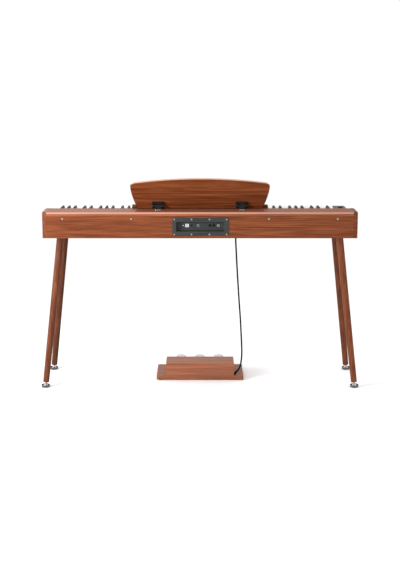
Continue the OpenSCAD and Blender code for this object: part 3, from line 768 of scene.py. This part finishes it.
def add_leg(name, side, end, seed, tone):
    """A turned, tapered leg, bored for the foot's stem and cut level where it meets its plate."""
    foot, up, length = leg_line(side, end)
    thin, swell, parts = 0.013, 0.003, 12
    profile = [(0, 0.076), (BORE, 0.076), (BORE, 0.0222), (0.0043, LEG_START), (0.0108, LEG_START),
               (0.0118, 0.0223), (0.0126, 0.0232), (thin, LEG_TAPER_START)]
    profile += [(thin + swell * i / parts, LEG_TAPER_START + (length - LEG_TAPER_START) * i / parts)
                for i in range(1, parts + 1)]
    profile += [(0.00405, length), (0.00405, length - 0.04), (0, length - 0.04)]
    bm = bmesh.new()
    lathe(bm, profile, foot, up, 72)
    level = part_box("leg_plates")[0].z
    for vert in bm.verts:
        if vert.co.z > level:
            vert.co -= up * ((vert.co.z - level) / up.z)
    # A faint painted sheen over the leg's wood, as a highlight.
    veneer = wood("wood_" + name, "z", seed, tone, 0.10, 0.02)
    place(as_object(name + "_turned", bm, veneer), FIXED, "walnut", name)


def add_foot(name, side, end):
    """A levelling foot: a dark dish, a bright domed flange in it, and a threaded stem in the leg."""
    start, up, _ = leg_line(side, end)
    pad = start + up * (PAD_TOP / up.z)
    rim = 0.0171
    dish = [(0, 0), (0.0156, 0), (rim, 0.0008), (0.0179, 0.0030), (0.0180, 0.0092), (0.0177, 0.0108),
            (rim, 0.0114), (0.0165, 0.0110), (0.0160, 0.0094), (0.0154, 0.0066), (0, 0.0062)]
    dome = [(0, 0.0064), (0.0112, 0.0066), (0.0113, 0.0072), (0.0104, 0.0086), (0.0088, 0.0101),
            (0.0078, 0.0111), (0.0070, 0.0117), (0.0062, 0.0120), (0, 0.0120)]
    on_floor = (pad.x, pad.y, 0)
    cup = turned(name + "_dish", dish, on_floor, UP, MATERIALS["dark_metal"])
    for extra in ("rubber", "chrome"):
        cup.data.materials.append(MATERIALS[extra])
    for face in cup.data.polygons:
        reach = (face.center.xy - pad.xy).length
        if face.center.z > 0.0060 and reach < rim:
            face.material_index = 1 if face.center.z > 0.0068 else 2
    place(cup, name, "chrome", name)
    place(turned(name + "_flange", dome, on_floor, UP, MATERIALS["chrome"]), name, "chrome")
    crest, root, half_pitch = 0.00395, 0.00360, 0.0006
    stem = [(0, 0.005)]
    stem += [(crest if i % 2 else root, 0.005 + half_pitch * i) for i in range(100)]
    stem += [(0, 0.0645)]
    thread = turned(name + "_stem", stem, start + up * 0.003, up, MATERIALS["steel"], 28)
    place(thread, name, "chrome")


# ---------------------------------------------------------------- pedals


PEDAL_NECK = 0.012
PEDAL_TOE = 0.0215
PEDAL_UNDER = 0.050
PEDAL_THICK = 0.006
PEDAL_CROWN = 0.0006
EYE_WIDE = 0.024


def pedal_half_width(reach, length):
    """Half the pedal's width at a reach in front of its axle; the toe is round."""
    t = min(1, max(0, (reach - 0.090) / 0.060))
    half = PEDAL_NECK + (PEDAL_TOE - PEDAL_NECK) * t * t * (3 - 2 * t)
    past = reach - (length - PEDAL_TOE)
    return half if past <= 0 else math.sqrt(max(0.0, PEDAL_TOE ** 2 - past ** 2))


def pedal_section(half, thick, crown):
    """The pedal across its width: rounded corners and a slightly crowned top."""
    steps = 7
    corner = min(0.0024, half * 0.9, thick * 0.45)
    upper = arc((half - corner, thick - corner), corner, 0, 90, 4)
    upper += [((half - corner) * (1 - 2 * i / steps), thick) for i in range(1, steps)]
    upper += arc((corner - half, thick - corner), corner, 90, 180, 4)
    crowned = [(x, z + crown * (1 - (x / half) ** 2) * (z / thick)) for x, z in upper]
    lower = arc((corner - half, corner), corner, 180, 270, 4)
    lower += arc((half - corner, corner), corner, 270, 360, 4)
    return crowned + lower


def add_pedal(name):
    """A pedal: a plated arm that widens to a domed round toe, and an eye on the axle."""
    low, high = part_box(name)
    axle = sum(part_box("pedal_axle"), Vector()) / 2
    middle, length = (low.x + high.x) / 2, axle.y - low.y
    reaches = [0.004 * i for i in range(int((length - 0.022) / 0.004))]
    reaches += [length - PEDAL_TOE + PEDAL_TOE * math.sin(math.radians(a)) for a in range(0, 89, 4)]
    bm = bmesh.new()
    rings = []
    for reach in reaches:
        half = max(pedal_half_width(reach, length), 0.0008)
        near = min(1.0, (length - reach) / 0.0026)
        deep = PEDAL_THICK * max(0.12, math.sqrt(max(0.0, 1 - (1 - near) ** 2)))
        outline = pedal_section(half, deep, PEDAL_CROWN * near)
        lift = PEDAL_UNDER + (PEDAL_THICK - deep) / 2
        rings.append([bm.verts.new((middle + x, axle.y - reach, lift + z)) for x, z in outline])
    for one, two in zip(rings, rings[1:]):
        join_rings(bm, one, two)
    bm.faces.new(rings[0])
    bm.faces.new(rings[-1])
    arm = as_object(name + "_arm", bm, MATERIALS["pedal"], 50)
    # The arm's sides and underside take the dark metal: painted shade that draws a dark outline
    # round each pedal.
    arm.data.materials.append(MATERIALS["dark_metal"])
    for face in arm.data.polygons:
        if face.normal.z < 0.55:
            face.material_index = 1
    place(arm, name, "chrome", name)
    inner, outer = 0.00305, 0.007
    eye = [(inner, 0.0), (0.0066, 0.0), (outer, 0.0004), (outer, EYE_WIDE - 0.0004),
           (0.0066, EYE_WIDE), (inner, EYE_WIDE), (inner, 0.0)]
    start = (middle - EYE_WIDE / 2, axle.y, axle.z)
    place(turned(name + "_eye", eye, start, (1, 0, 0), MATERIALS["pedal"]), name, "chrome")


# ---------------------------------------------------------------- build


make_materials()
add_camera()
add_cord()
add_floor()
add_lights()

add_top_board()
add_rest_board()
add_ledge()
add_hinge_bases()
add_knob()
add_usb_face()
add_socket_rings()
# Each corner of the stand, with its side (treble is 1) and its end (rear is 1).
LEGS = [("rear_treble", 1, 1), ("rear_bass", -1, 1), ("front_treble", 1, -1), ("front_bass", -1, -1)]
for index, (corner, side, end) in enumerate(LEGS):
    # The legs' tones are painted light and shade: front legs darker as shade, and treble legs,
    # nearest the key lamp, darker than bass ones to even out its light.
    tone = (0.90 if side < 0 else 0.70) * (1 if end > 0 else 0.7)
    add_leg("leg_" + corner, side, end, 5.1 + index, tone)
    add_foot("foot_" + corner, side, end)
PEDALS = ["pedal_soft", "pedal_sostenuto", "pedal_sustain"]
for name in PEDALS:
    add_pedal(name)

# The nodes that are dealt with above; the others are carried over from the frame.
MADE = {"top_board", "music_rest_board", "music_rest_ledge", "rest_hinge_bases", "volume_knob",
        "cord_plug", "cord_strain_relief", "pedal_cord", *PEDALS}
MADE.update(part + corner for corner, _, _ in LEGS for part in ("leg_", "foot_"))
# Tone and gloss of the boards that differ from plain veneer.
WOOD_LOOKS = {"back_panel": (1.03, 0.12), "pedal_base": (1.15, 0.08), "pedal_housing": (1.3, 0.08),
              "key_slip": (1, 0.1), "side_panel_bass": (0.92, 0.1), "bottom_board": (0.8, 0.05)}
PLAIN_VENEER = (1.0, 0.2)
SLOTS = {s["node"]: s["material_slot"] for s in frame["record"]["subparts"]}
BY_SLOT = {"charcoal_plastic": "charcoal", "black_plastic": "black", "grille_steel": "grille",
           "white_key": "white_key", "black_key": "black_key", "screws": "screw", "steel": "steel",
           "chrome": "chrome", "felt": "felt", "circuit_board": "circuit", "rubber": "rubber"}
for index, name in enumerate(frame["nodes"]):
    if name in MADE:
        continue
    if SLOTS[name] in ("walnut", "inner_wood"):
        tone, gloss = WOOD_LOOKS.get(name, PLAIN_VENEER)
        # The pedal unit's boards take a little painted sheen as a highlight.
        painted_sheen = 0.12 if name.startswith("pedal") else 0.0
        panel = name.startswith("side_panel")
        veneer = wood("wood_" + name, "y" if panel else "x", 0.37 * index, tone, gloss, painted_sheen)
        finish_cad(name, veneer, PANEL_EASED if panel else EASED)
    else:
        finish_cad(name, MATERIALS[BY_SLOT[SLOTS[name]]])

bpy.context.scene.view_settings.view_transform = "Standard"
